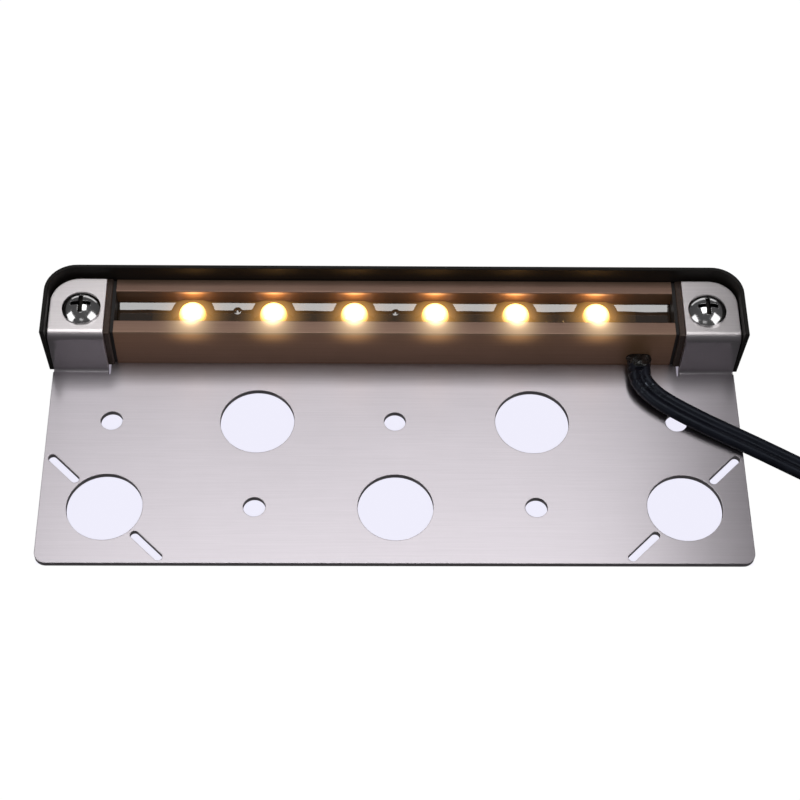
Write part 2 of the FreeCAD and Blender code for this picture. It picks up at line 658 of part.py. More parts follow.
def led_place(number):
    """An LED's place along the bar, counted from the left."""
    return f"({number - (LED_COUNT + 1) / 2:g} * dims.led_pitch)"


def led_seat(name, number):
    """The block that one LED package takes up on its board."""
    x, half = led_place(number), "dims.led_side / 2"
    along = (f"{x} - {half}", f"{x} + {half}")
    return block(name, along, board_span("dims.led_side"), (BOARD_TOP, LED_TOP))


def led(number):
    """One package with its cup, and the clear dome moulded on it."""
    x = led_place(number)
    package = led_seat(f"led_blank_{number}", number)
    cup_low = f"({LED_TOP} - dims.led_cup_deep)"
    above = f"{LED_TOP} + {OVER}"
    cup = rod(f"led_cup_{number}", "dims.led_cup", x, CHANNEL_MIDDLE, (cup_low, above))
    emitter = less(f"led_emitter_{number}", package, cup)
    fill = rod(f"led_fill_{number}", "dims.led_cup", x, CHANNEL_MIDDLE, (cup_low, LED_TOP))
    dome = ball(f"led_dome_{number}", "dims.led_dome", x, CHANNEL_MIDDLE, LED_TOP)
    dome.Angle1 = 0
    return emitter, joined(f"led_lens_{number}", fill, dome)


def resin_bump(number):
    """Ball whose top stands over one LED as a low bump of resin."""
    curve = "((dims.resin_bump_wide ^ 2 + dims.resin_bump ^ 2) / (2 * dims.resin_bump))"
    middle = f"dims.resin_top + dims.resin_bump - {curve}"
    return ball(f"resin_ball_{number}", curve, led_place(number), CHANNEL_MIDDLE, middle)


def lamp_channel():
    """Tape, LED board, LEDs, the leads with their solder, and the resin over them."""
    half_board = "dims.board_long / 2"
    leads, solder_blanks = [], []
    for colour, x in zip(("red", "black"), LEAD_PLACES):
        top = f"({BOARD_TOP} + dims.solder_high)"
        leads.append(rod(f"led_lead_{colour}", "dims.lead_core", x, CHANNEL_MIDDLE, (DRIVER_TOP, top)))
        cone = doc.addObject("Part::Cone", f"solder_blank_{colour}")
        bind(cone, Radius1="dims.solder_wide", Radius2="dims.lead_core", Height="dims.solder_high")
        place(cone, x, CHANNEL_MIDDLE, BOARD_TOP)
        solder_blanks.append(cone)
    tape_holes = [rod(f"tape_hole_{colour}", "dims.lead_hole", x, CHANNEL_MIDDLE, ("0", "dims.resin_top"))
                  for colour, x in zip(("red", "black"), LEAD_PLACES)]
    tape_blank = block("tape_blank", (f"-{half_board}", half_board), board_span("dims.board_wide"),
                       ("dims.channel_floor", BOARD_LOW))
    board_blank = block("board_blank", (f"-{half_board}", half_board), board_span("dims.board_wide"),
                        (BOARD_LOW, BOARD_TOP))
    tape = less("thermal_tape", tape_blank, *tape_holes)
    board = less("led_board", board_blank, *leads)
    solder = less("lead_solder", joined("solder_pair", *solder_blanks), *leads)
    emitters, lenses = zip(*[led(number) for number in LED_NUMBERS])
    channel = (CHANNEL_FRONT, CHANNEL_BACK)
    slab = block("resin_slab", (f"-{BAR_END}", BAR_END), channel, (BOARD_TOP, "dims.resin_top"))
    above = block("resin_above", (f"-{BAR_END}", BAR_END), channel,
                  ("dims.resin_top - dims.bump_root", "dims.resin_top + 2 * dims.resin_bump"))
    balls = joined("resin_balls", *[resin_bump(number) for number in LED_NUMBERS])
    bumps = shared("resin_bumps", balls, above)
    packages = [led_seat(f"resin_seat_{number}", number) for number in LED_NUMBERS]
    resin = less("potting_resin", joined("resin_solid", slab, bumps), *packages, *lenses, *solder_blanks)
    return [tape, board, solder, resin, *leads, *emitters, *lenses]


# ------------------------------------------------------------------ driver in the cavity
def driver_parts():
    """Insulating pad, driver board and the parts soldered to it."""
    along = ("dims.driver_start", "dims.driver_end")
    across = (f"{CAVITY_MIDDLE} - dims.driver_wide / 2", f"{CAVITY_MIDDLE} + dims.driver_wide / 2")
    made = [
        block("driver_pad", along, across, ("dims.cavity_low", DRIVER_LOW)),
        block("driver_board", along, across, (DRIVER_LOW, DRIVER_TOP)),
    ]
    for name in DRIVER_PARTS:
        x, y = f"dims.{name}_x", f"({CAVITY_MIDDLE} + dims.{name}_y)"
        long, wide, high = [f"dims.{name}_{way}" for way in ("long", "wide", "high")]
        if name == "inductor":
            made.append(rod(name, f"{wide} / 2", x, y, (DRIVER_TOP, f"{DRIVER_TOP} + {high}")))
            continue
        made.append(block(
            name, (f"{x} - {long} / 2", f"{x} + {long} / 2"),
            (f"{y} - {wide} / 2", f"{y} + {wide} / 2"), (DRIVER_TOP, f"{DRIVER_TOP} + {high}")))
    return made


# ------------------------------------------------------------------ cord entry
def cord_slot(sketch, radius, extra="0"):
    """Flat cord's outline about the exit, on a sketch that faces along Y."""
    reach = f"((dims.cord_wide - dims.cord_thick) / 2 + {extra})"
    slot(sketch, (f"dims.cord_place - {reach}", "dims.cord_level"),
         (f"dims.cord_place + {reach}", "dims.cord_level"), radius)


def cord_pad(body, name, start, radius, length, taper="0", extra="0"):
    """Flat-cord outline padded from a plane at the given Y towards the plate's free edge."""
    profile = sketch_on(body, "XZ_Plane", f"{name}_outline", f"-{start}")
    cord_slot(profile, radius, extra)
    return pad(body, name, profile, length, taper)


def cord_grommet():
    body = new_body("cord_grommet")
    cord_pad(body, "grommet_sleeve", CAVITY_FRONT, "(dims.cord_thick / 2 + dims.sleeve_wall)",
             "dims.cavity_front")
    cord_pad(body, "grommet_lip", f"({CAVITY_FRONT} + dims.grommet_flange)",
             "(dims.cord_thick / 2 + dims.sleeve_wall / 3)", "dims.grommet_flange",
             extra="dims.cord_thick / 2")
    bore = sketch_on(body, "XZ_Plane", "grommet_bore")
    cord_slot(bore, "(dims.cord_thick / 2)")
    pocket(body, "grommet_bore_cut", bore)
    return body


def cord_seal():
    """Bead of sealant round the cord where it leaves the extrusion."""
    body = new_body("cord_seal")
    cord_pad(body, "seal_bead", BAR_FRONT, "(dims.seal_high / 2)", "dims.seal_long",
             "-dims.seal_taper", "(dims.seal_wide - dims.seal_high - dims.cord_wide + dims.cord_thick) / 2")
    bore = sketch_on(body, "XZ_Plane", "seal_bore")
    cord_slot(bore, "(dims.cord_thick / 2)")
    pocket(body, "seal_bore_cut", bore)
    return body


def cord_inlet():
    """The cord's straight stretch through bead, grommet and wall."""
    body = new_body("cord_inlet")
    cord_pad(body, "inlet_sheath", CORD_INSIDE, "(dims.cord_thick / 2)",
             "dims.cord_inside + dims.seal_long")
    return body


# ------------------------------------------------------------------ cord and its ends
def rounded_path(points):
    """Straight runs joined by tangent arcs, each as large as its two runs allow."""
    edges, radii = [], []
    start = points[0]
    for before, corner, after in zip(points, points[1:], points[2:]):
        run_in, run_out = corner - before, after - corner
        trim = TRIM_SHARE * min(run_in.Length, run_out.Length)
        turn = run_in.getAngle(run_out)
        radius = trim / math.tan(turn / 2)
        way_in, way_out = Vector(run_in).normalize(), Vector(run_out).normalize()
        enter, leave = corner - way_in * trim, corner + way_out * trim
        inward = (way_out - way_in).normalize()
        middle = corner + inward * (radius / math.cos(turn / 2) - radius)
        edges.append(Part.LineSegment(start, enter).toShape())
        edges.append(Part.Arc(enter, middle, leave).toShape())
        radii.append(round(radius, 1))
        start = leave
    edges.append(Part.LineSegment(start, points[-1]).toShape())
    return Part.Wire(edges), radii


def swept(path, section, level=False):
    """The solid that a closed section makes along a path; a level one never rolls."""
    shell = Part.BRepOffsetAPI.MakePipeShell(path)
    if level:
        shell.setBiNormalMode(UP)
    shell.add(section)
    shell.build()
    shell.makeSolid()
    return shell.shape()


def flat_section(start, way):
    """Round-ended cord section, square to the way it runs."""
    half = value("dims.cord_thick / 2")
    reach = value("(dims.cord_wide - dims.cord_thick) / 2")
    side = UP.cross(way).normalize()
    corners = [start + side * across + UP * level
               for across, level in ((-reach, -half), (reach, -half), (reach, half), (-reach, half))]
    ends = [start + side * across for across in (reach + half, -reach - half)]
    return Part.Wire([
        Part.LineSegment(corners[0], corners[1]).toShape(),
        Part.Arc(corners[1], ends[0], corners[2]).toShape(),
        Part.LineSegment(corners[2], corners[3]).toShape(),
        Part.Arc(corners[3], ends[1], corners[0]).toShape(),
    ])


def round_tube(points, radius):
    path, radii = rounded_path(points)
    way = points[1] - points[0]
    ring = Part.Wire([Part.Circle(points[0], way, radius).toShape()])
    return swept(path, ring), path, radii


def feature(name, shape):
    thing = doc.addObject("Part::Feature", name)
    thing.Shape = shape
    thing.Placement = FreeCAD.Placement()
    return thing


def report_cord(name, solid, section_area, path, radii):
    print(f"{name}: path {path.Length:.1f} mm, volume {solid.Volume:.1f} against "
          f"{section_area * path.Length:.1f} mm3, radii {radii}")


def coil_spot(x, y, z):
    """A point given from the middle of the coil."""
    return Vector(value("dims.coil_x") + x, value("dims.coil_y") + y, z)


def upright_drum(radius):
    """A tall cylinder about the coil's axis."""
    tall = value("dims.coil_outer")
    return Part.makeCylinder(radius, tall, coil_spot(0, 0, -tall / 2))


def cord_tube():
    """The lead from the bead, over the plate and its edge, down to the floor and the coil."""
    points = [Vector(*point) for point in CORD_ROUTE]
    points[0].y = value(CORD_OUTSIDE)
    path, radii = rounded_path(points)
    solid = swept(path, flat_section(points[0], points[1] - points[0]), level=True)
    thick = value("dims.cord_thick")
    area = math.pi * thick ** 2 / 4 + thick * value("dims.cord_wide - dims.cord_thick")
    report_cord("cord_tube", solid, area, path, radii)
    return feature("cord_tube", solid.cut(upright_drum(value("dims.coil_outer"))))


def cavity_cores():
    """Two conductors from the end of the sheath to the driver board."""
    level, start = value("dims.cord_level"), value(CORD_INSIDE)
    end = value("dims.bridge_rectifier_x + dims.core_end")
    offset = value("(dims.cord_wide - dims.cord_thick) / 2")
    made = []
    for name, side in (("near", -1), ("far", 1)):
        reach = value(f"dims.core_reach_{name}")
        x = value("dims.cord_place") + side * offset
        turn = start + reach
        points = [Vector(x, start, level), Vector(x, turn, level), Vector(end, turn, level)]
        tube, path, radii = round_tube(points, value("dims.core_radius"))
        report_cord(f"core_{name}", tube, math.pi * value("dims.core_radius") ** 2, path, radii)
        made.append(feature(f"inner_core_{name}", tube))
    return made


def cord_ends():
    """The twin cord split inside the coil: two cores with stripped ends."""
    insulation, strands = [], []
    for points in END_CORES:
        spots = [coil_spot(*point) for point in points]
        tube, path, radii = round_tube(spots, value("dims.end_core"))
        report_cord("end core", tube, math.pi * value("dims.end_core") ** 2, path, radii)
        insulation.append(tube.common(upright_drum(value("dims.coil_inner"))))
        way = (spots[-1] - spots[-2]).normalize()
        strands.append(Part.makeCylinder(value("dims.end_strand"), value("dims.end_bare"), spots[-1], way))
    return [
        feature("cord_end_cores", Part.makeCompound([part.Solids[0] for part in insulation])),
        feature("cord_end_strands", Part.makeCompound(strands)),
    ]


def cord_coil():
    """Outer shape of the stored coil, a ring as high as the cord is wide."""
    span = ("dims.coil_base", "dims.coil_base + dims.cord_wide")
    outer = rod("coil_outside", "dims.coil_outer", "dims.coil_x", "dims.coil_y", span)
    inner = rod("coil_hollow", "dims.coil_inner", "dims.coil_x", "dims.coil_y", COIL_CUT)
    return less("cord_coil", outer, inner)


def cord_tie(coil):
    """Flat strap round the coil's turns at one place."""
    span = ("dims.coil_base - dims.tie_thick", "dims.coil_base + dims.cord_wide + dims.tie_thick")
    outer = rod("tie_outside", "dims.coil_outer + dims.tie_thick", "dims.coil_x", "dims.coil_y", span)
    inner = rod("tie_inside", "dims.coil_inner - dims.tie_thick", "dims.coil_x", "dims.coil_y", COIL_CUT)
    strip = doc.addObject("Part::Box", "tie_strip")
    bind(strip, Length="2 * dims.coil_outer", Width="dims.tie_wide", Height="2 * dims.cord_wide")
    strip.Placement = FreeCAD.Placement(Vector(), FreeCAD.Rotation(UP, value("dims.tie_angle")))
    place(strip, "dims.coil_x + dims.tie_wide / 2 * sin(dims.tie_angle)",
          "dims.coil_y - dims.tie_wide / 2 * cos(dims.tie_angle)", f"-{OVER}")
    ring = less("tie_ring", outer, inner)
    return less("cord_tie", shared("tie_band", ring, strip), coil)


# ------------------------------------------------------------------ assembly and export
def check_document():
    """Stop if any object failed or any shape is unusable."""
    for thing in doc.Objects:
        if {"Invalid", "Error"} & set(thing.State):
            raise RuntimeError(f"{thing.Name} failed: {thing.State}")


def export(nodes):
    os.makedirs("parts", exist_ok=True)
    for node in nodes:
        if node.Shape.isNull() or not node.Shape.isValid():
            raise RuntimeError(f"{node.Label} has no valid shape")
    for node in nodes:
        node.Shape.exportStep(f"parts/{node.Label}.step")
        box = node.Shape.BoundBox
        print(f"{node.Label}: {len(node.Shape.Solids)} solid, {node.Shape.Volume:.1f} mm3, "
              f"x {box.XMin:.2f} {box.XMax:.2f}, y {box.YMin:.2f} {box.YMax:.2f}, "
              f"z {box.ZMin:.2f} {box.ZMax:.2f}")


def build():
    nodes = [mounting_plate(), hood(), light_bar_body()]
    for side, sign in (("left", "-"), ("right", "")):
        nodes += [end_cap(side, sign), end_gasket(side, sign), bracket_screw(side, sign)]
    nodes += lamp_channel()
    nodes += driver_parts()
    nodes += [cord_grommet(), cord_seal(), cord_inlet()]
    nodes += cavity_cores()
    coil = cord_coil()
    nodes += [cord_tube(), coil, cord_tie(coil)]
    nodes += cord_ends()
    doc.recompute()
    check_document()
    export(nodes)


build()
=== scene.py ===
"""The looks of the hardscape light bar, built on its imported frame.

Metres, in the row frame: +X along the bar, +Y from the plate's free edge to the hood, +Z up.
"""

import math

import bpy
from mathutils import Matrix, Vector


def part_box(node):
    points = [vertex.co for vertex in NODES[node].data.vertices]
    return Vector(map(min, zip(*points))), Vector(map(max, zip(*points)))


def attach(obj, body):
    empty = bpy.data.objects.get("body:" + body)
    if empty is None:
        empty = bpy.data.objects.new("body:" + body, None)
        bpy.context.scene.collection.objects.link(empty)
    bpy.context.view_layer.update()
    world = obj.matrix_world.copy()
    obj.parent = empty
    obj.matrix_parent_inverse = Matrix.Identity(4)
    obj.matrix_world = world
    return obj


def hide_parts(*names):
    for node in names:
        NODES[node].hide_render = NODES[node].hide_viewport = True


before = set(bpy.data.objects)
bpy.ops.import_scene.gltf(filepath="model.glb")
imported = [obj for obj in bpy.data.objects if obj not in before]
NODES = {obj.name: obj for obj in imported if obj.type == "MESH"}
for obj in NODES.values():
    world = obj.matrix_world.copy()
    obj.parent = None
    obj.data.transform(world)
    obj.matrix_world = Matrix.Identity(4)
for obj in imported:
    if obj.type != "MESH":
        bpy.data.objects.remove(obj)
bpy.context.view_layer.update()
MM = 0.001


def centre_of(node):
    low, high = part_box(node)
    return (low + high) / 2


# ------------------------------------------------------------------ camera
CAMERA_SPOT = Vector((-8.54, -266.86, 424.20)) * MM
CAMERA_DOWN = math.radians(56.83)
CAMERA_TURN = 0.0359
CAMERA_ROLL = 0.0334
CAMERA_LENS = 87.74


def add_camera():
    ahead = Vector((math.sin(CAMERA_TURN) * math.cos(CAMERA_DOWN),
                    math.cos(CAMERA_TURN) * math.cos(CAMERA_DOWN),
                    -math.sin(CAMERA_DOWN)))
    right = Vector((math.cos(CAMERA_TURN), -math.sin(CAMERA_TURN), 0))
    above = right.cross(ahead)
    tilted_right = math.cos(CAMERA_ROLL) * right + math.sin(CAMERA_ROLL) * above
    tilted_above = math.cos(CAMERA_ROLL) * above - math.sin(CAMERA_ROLL) * right
    camera = bpy.data.objects.new("camera", bpy.data.cameras.new("camera"))
    camera.data.lens = CAMERA_LENS
    camera.matrix_world = Matrix.Translation(CAMERA_SPOT) @ Matrix(
        (tilted_right, tilted_above, -ahead)).transposed().to_4x4()
    bpy.context.scene.collection.objects.link(camera)
    bpy.context.scene.camera = camera


add_camera()


# ------------------------------------------------------------------ meshes
def mesh_piece(name, points, faces, smooth=True):
    """A new mesh object of a list of points and a list of faces."""
    mesh = bpy.data.meshes.new(name)
    mesh.from_pydata([tuple(point) for point in points], [], faces)
    mesh.validate()
    mesh.shade_smooth() if smooth else mesh.shade_flat()
    piece = bpy.data.objects.new(name, mesh)
    bpy.context.scene.collection.objects.link(piece)
    return piece


def wall_faces(rings, count, first=0):
    """Quads between successive rings of count points each, numbered from first."""
    faces = []
    for ring in range(rings - 1):
        for index in range(count):
            following = (index + 1) % count
            low, high = first + ring * count, first + (ring + 1) * count
            faces.append((low + index, low + following, high + following, high + index))
    return faces


def tube_faces(rings, count):
    """The walls of a tube, and the two faces that close its ends."""
    start = tuple(reversed(range(count)))
    end = tuple(range((rings - 1) * count, rings * count))
    return wall_faces(rings, count) + [start, end]


def smooth_line(name, points):
    """The points along a NURBS curve of order 3 that has the given control points."""
    curve = bpy.data.curves.new(name, "CURVE")
    curve.dimensions = "3D"
    curve.resolution_u = 4
    spline = curve.splines.new("NURBS")
    spline.points.add(len(points) - 1)
    for control, point in zip(spline.points, points):
        control.co = (*point, 1)
    spline.order_u = 3
    spline.use_endpoint_u = True
    guide = bpy.data.objects.new(name, curve)
    bpy.context.scene.collection.objects.link(guide)
    line = [vertex.co.copy() for vertex in bpy.data.meshes.new_from_object(guide).vertices]
    bpy.data.objects.remove(guide)
    return line


def along(line):
    """The distance of each point from the line's start."""
    reach = [0.0]
    for before, after in zip(line, line[1:]):
        reach.append(reach[-1] + (after - before).length)
    return reach


def swept(name, line, section, turn):
    """A section (across, up) carried along a line, level but for its turn about the line."""
    points = []
    last = len(line) - 1
    for index, (spot, reach) in enumerate(zip(line, along(line))):
        way = (line[min(index + 1, last)] - line[max(index - 1, 0)]).normalized()
        across = way.cross(Vector((0, 0, 1))).normalized()
        above = across.cross(way)
        angle = turn(reach)
        turned_across = math.cos(angle) * across + math.sin(angle) * above
        turned_above = math.cos(angle) * above - math.sin(angle) * across
        points += [spot + turned_across * u + turned_above * v for u, v in section]
    return mesh_piece(name, points, tube_faces(len(line), len(section)))


# ------------------------------------------------------------------ cord
CORD_WIDE = 5.8 * MM
CORD_THICK = 2.8 * MM
# The web between the cores, as shares of a core's radius and of the web's own height.
WEB_SHARE = 0.62
GROOVE_SHARE = 0.93
CORE_STEPS = 14
CORD_EXIT = Vector((63.7, 16.6, 4.9)) * MM
# The cord starts inside the bar's wall, then follows this route in millimetres to the coil.
CORD_START = Vector((63.7, 20.6, 4.9)) * MM
CORD_ROUTE = [
    (63.7, 16.6, 4.9),
    (63.7, 13.8, 4.9),
    (65.2, 11.1, 4.7),
    (68.3, 7.9, 4.3),
    (73.8, 4.2, 4.05),
    (81.6, -0.35, 3.7),
    (91.2, -5.3, 3.15),
    (102.3, -11.3, 2.3),
    (112.8, -17.5, 2.4),
    (122.8, -23.6, 3.05),
    (131.5, -27.7, 3.35),
]
COIL_CENTRE = Vector((152.0, 6.3, 3.35)) * MM
COIL_OUTER = 40.1 * MM
COIL_STEP = 2.9 * MM
COIL_START = -120.0
COIL_SWEEP = 5 * 360 + 190.0
COIL_POINTS = 132
# Where the sheath ends and the two cores part.
SPLIT = COIL_CENTRE + Vector((3.5, 23.2, 0)) * MM
# The run before the coil over which the cord turns on edge.
TWIST_RUN = 26 * MM


def coil_points():
    """The coil's turns on edge, from the outside in."""
    points = []
    for index in range(COIL_POINTS + 1):
        turned = COIL_SWEEP * index / COIL_POINTS
        angle = math.radians(COIL_START + turned)
        radius = COIL_OUTER - COIL_STEP * turned / 360
        points.append(COIL_CENTRE + radius * Vector((math.cos(angle), math.sin(angle), 0)))
    return points


def cord_section():
    """Two round cores side by side with a web between them, leaving a groove above and below."""
    core = CORD_THICK / 2
    offset = CORD_WIDE / 2 - core
    web = WEB_SHARE * core
    opening = math.asin(web / core)
    half = [math.pi - opening - (math.pi - opening) * 2 * step / CORE_STEPS
            for step in range(CORE_STEPS + 1)]
    right = [(offset + core * math.cos(angle), -core * math.sin(angle)) for angle in half]
    left = [(-u, -v) for u, v in right]
    middle_low, middle_high = (0, -web * GROOVE_SHARE), (0, web * GROOVE_SHARE)
    return [middle_low] + right + [middle_high] + left


def build_cord():
    """The flat cord in one sweep: out of the wall, over the plate, and on edge round the coil."""
    free = [CORD_START] + [Vector(point) * MM for point in CORD_ROUTE]
    line = smooth_line("cord_line", free + coil_points() + [SPLIT])
    free_length = along(smooth_line("free_line", free))[-1]

    def turn(reach):
        """From flat to on edge, eased at both ends."""
        share = min(max((reach - free_length + TWIST_RUN) / TWIST_RUN, 0), 1)
        return share * share * (3 - 2 * share) * math.pi / 2

    piece = swept("supply_cord", line, cord_section(), turn)
    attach(piece, "root")
    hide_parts("cord_tube", "cord_coil")


build_cord()


# ------------------------------------------------------------------ material helpers
class Look:
    """One procedural material: a Principled shader and the nodes that feed it."""

    def __init__(self, name, colour, rough, metal=0.0, **sockets):
        self.material = bpy.data.materials.new(name)
        self.material.use_nodes = True
        self.tree = self.material.node_tree
        self.shader = self.tree.nodes["Principled BSDF"]
        self.colour = colour
        self.rough = rough
        values = {"Base Color": (*colour, 1), "Roughness": rough, "Metallic": metal}
        for socket, value in {**values, **sockets}.items():
            self.shader.inputs[socket].default_value = value
        self.place = self.node("ShaderNodeTexCoord").outputs["Object"]

    def node(self, kind, settings=None, **inputs):
        """Add a node and set its properties.

        Its inputs are set or linked by position (i0, i1, ...) or by name.
        """
        made = self.tree.nodes.new(kind)
        for name, value in (settings or {}).items():
            setattr(made, name, value)
        for name, value in inputs.items():
            key = int(name[1:]) if name[1:].isdigit() else name.replace("_", " ")
            if isinstance(value, bpy.types.NodeSocket):
                self.tree.links.new(value, made.inputs[key])
            else:
                made.inputs[key].default_value = value
        return made

    def feed(self, socket, value):
        self.tree.links.new(value, self.shader.inputs[socket])

    def maths(self, operation, first, second=0.0):
        return self.node("ShaderNodeMath", {"operation": operation}, i0=first, i1=second).outputs[0]

    def axes(self):
        """The row frame's x, y and z."""
        return list(self.node("ShaderNodeSeparateXYZ", None, Vector=self.place).outputs)

    def length(self, *parts):
        """The length of a vector with the given parts."""
        squares = [self.maths("MULTIPLY", part, part) for part in parts]
        total = squares[0]
        for square in squares[1:]:
            total = self.maths("ADD", total, square)
        return self.maths("SQRT", total)

    def mixed(self, share, first, second, blend="MIX"):
        """A colour that goes from first to second as the share goes from 0 to 1."""
        return self.node("ShaderNodeMix", {"data_type": "RGBA", "blend_type": blend}, i0=share,
                         i6=first, i7=second).outputs[2]

    def noise(self, scale, detail=3.0, stretch=(1, 1, 1)):
        """Noise from 0 to 1 over the row frame, in cells per metre, stretched along each axis."""
        placed = self.node("ShaderNodeMapping", None, Vector=self.place,
                           Scale=[scale * share for share in stretch])
        return self.node("ShaderNodeTexNoise", None, Vector=placed.outputs[0], Scale=1.0,
                         Detail=detail).outputs["Fac"]

    def ramp(self, value, low, high, start=0.3, end=0.7):
        """A number that goes from low to high as the value goes from start to end."""
        return self.node("ShaderNodeMapRange", None, Value=value, From_Min=start, From_Max=end,
                         To_Min=low, To_Max=high).outputs[0]

    def vary_colour(self, value, low=0.85, high=1.12):
        """Lighten and darken the base colour by a value."""
        shades = [(*(min(part * share, 1) for part in self.colour), 1) for share in (low, high)]
        self.feed("Base Color", self.mixed(self.ramp(value, 0, 1), *shades))

    def vary_rough(self, value, low, high):
        self.feed("Roughness", self.ramp(value, low, high))

    def relief(self, value, depth, edge=0.0):
        """Bump the surface by a value, over edges eased to a small radius."""
        bump = self.node("ShaderNodeBump", None, Strength=1.0, Distance=depth, Height=value)
        if edge:
            eased = self.node("ShaderNodeBevel", {"samples": 4}, Radius=edge)
            self.tree.links.new(eased.outputs[0], bump.inputs["Normal"])
        self.feed("Normal", bump.outputs[0])


def paint(look, *names):
    """Give CAD nodes or pieces a material."""
    for name in names:
        item = NODES.get(name) or bpy.data.objects[name]
        if not item.data.materials:
            item.data.materials.append(look.material)
        for place in item.material_slots:
            place.material = look.material


# ------------------------------------------------------------------ metals
STEEL_COLOUR = (0.63, 0.59, 0.63)
# The ears' flat tops have a painted highlight, from just below their surface up.
EAR_TOP_PAINTED_HIGHLIGHT = (0.90, 0.85, 0.86)
EAR_TOP_HIGHLIGHT_BAND = (0.5 * MM, 0.1 * MM)
POLISHED_COLOUR = (0.72, 0.715, 0.72)
RECESS_PAINTED_SHADE = (0.03, 0.027, 0.025)
RECESS_RADIUS = 2.6 * MM
RECESS_DROP = 0.5 * MM


def brushed_steel():
    """Sheet brushed along the lamp, so that it blurs reflections across the brushing."""
    look = Look("brushed_steel", STEEL_COLOUR, 0.295, 1.0, Anisotropic=0.87)
    grain = look.noise(3000, 2, (0.02, 1, 1))
    clouds = look.noise(45, 4)
    both = look.maths("ADD", look.maths("MULTIPLY", grain, 0.5), look.maths("MULTIPLY", clouds, 0.5))
    ear_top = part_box("mounting_plate")[1].z
    # A painted highlight on the ears' flat tops.
    highlight_share = look.ramp(look.axes()[2], 0, 1, *[ear_top - drop for drop in EAR_TOP_HIGHLIGHT_BAND])
    tint = look.mixed(highlight_share, (*STEEL_COLOUR, 1), (*EAR_TOP_PAINTED_HIGHLIGHT, 1))
    look.feed("Base Color", look.mixed(1.0, tint, look.ramp(both, 0.94, 1.05), "MULTIPLY"))
    look.vary_rough(both, 0.28, 0.31)
    look.relief(grain, 0.000004, 0.00025)
    facing = look.node("ShaderNodeNewGeometry").outputs["Normal"]
    # Slightly off the x axis, because a face whose normal lies along it would have no tangent.
    across = look.node("ShaderNodeVectorMath", {"operation": "CROSS_PRODUCT"}, i0=facing,
                       i1=(1, 0.01, 0.02))
    look.feed("Tangent", across.outputs[0])
    return look


def polished_steel():
    """Polished steel, dull and darkened by painted shade down in the screws' cross recesses."""
    look = Look("polished_steel", POLISHED_COLOUR, 0.12, 1.0)
    scuffs = look.noise(900, 4)
    low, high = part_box("bracket_screw_right")
    x, y, z = look.axes()
    away = look.length(look.maths("SUBTRACT", look.maths("ABSOLUTE", x), (low.x + high.x) / 2),
                       look.maths("SUBTRACT", y, (low.y + high.y) / 2))
    sunk = look.maths("MULTIPLY", look.maths("LESS_THAN", away, RECESS_RADIUS),
                      look.maths("LESS_THAN", z, high.z - RECESS_DROP))
    # Painted shade in the screws' cross recesses.
    look.feed("Base Color", look.mixed(sunk, (*POLISHED_COLOUR, 1), (*RECESS_PAINTED_SHADE, 1)))
    look.feed("Roughness", look.maths("ADD", look.ramp(scuffs, 0.08, 0.17),
                                      look.maths("MULTIPLY", sunk, 0.4)))
    look.relief(look.noise(420, 3), 0.00005, 0.00015)
    return look


LED_COUNT = 6
LED_NUMBERS = range(1, LED_COUNT + 1)
LED_LINE = centre_of("led_emitter_1")
LED_XS = [centre_of(f"led_emitter_{number}").x for number in LED_NUMBERS]
LED_PITCH = LED_XS[1] - LED_XS[0]
# The LEDs' warm light, painted as a glow on the rails and in the resin between them. Each part has its
# reach and its strength: the painted bloom and halo on the near rail, the painted glints on the far wall,
# and in the resin the painted hot core, which also has its steepness, the skirt and the haze.
RAIL_BLOOM = (1.9 * MM, 3.2)
RAIL_HALO = (4.9 * MM, 0.62)
WALL_PAINTED_GLINT = (0.34 * MM, 0.7)
RESIN_CORE = (3.07 * MM, 8.0, 8.0)
RESIN_SKIRT = (4.6 * MM, 0.85)
RESIN_GLOW_HAZE = (9.0 * MM, 0.045)


def led_distance(look, y, z, stretch=1.0, drop=1.0):
    """Distance to the nearest LED's axis at a depth and height, far away beyond the last LED.

    Distances along the bar and up or down can count for more or less than they are.
    """
    along_bar, deep, high = look.axes()
    from_middle = look.maths("ABSOLUTE", along_bar)
    nearest = look.maths("SUBTRACT", LED_PITCH / 2,
                         look.maths("PINGPONG", from_middle, LED_PITCH / 2))
    beyond = look.maths("GREATER_THAN", from_middle, LED_COUNT / 2 * LED_PITCH)
    return look.length(look.maths("ADD", look.maths("MULTIPLY", nearest, stretch), beyond),
                       look.maths("SUBTRACT", deep, y),
                       look.maths("MULTIPLY", look.maths("SUBTRACT", high, z), drop))


def led_radius(look):
    """Distance to the nearest LED's upright axis."""
    return led_distance(look, LED_LINE.y, look.axes()[2])


def falloff(look, distance, reach, peak, steep=2.0):
    """A bell of the distance, flatter inside and steeper outside where steep is higher."""
    share = look.maths("POWER", look.maths("DIVIDE", distance, reach), steep)
    return look.maths("MULTIPLY", look.maths("EXPONENT", look.maths("MULTIPLY", share, -1.0)), peak)


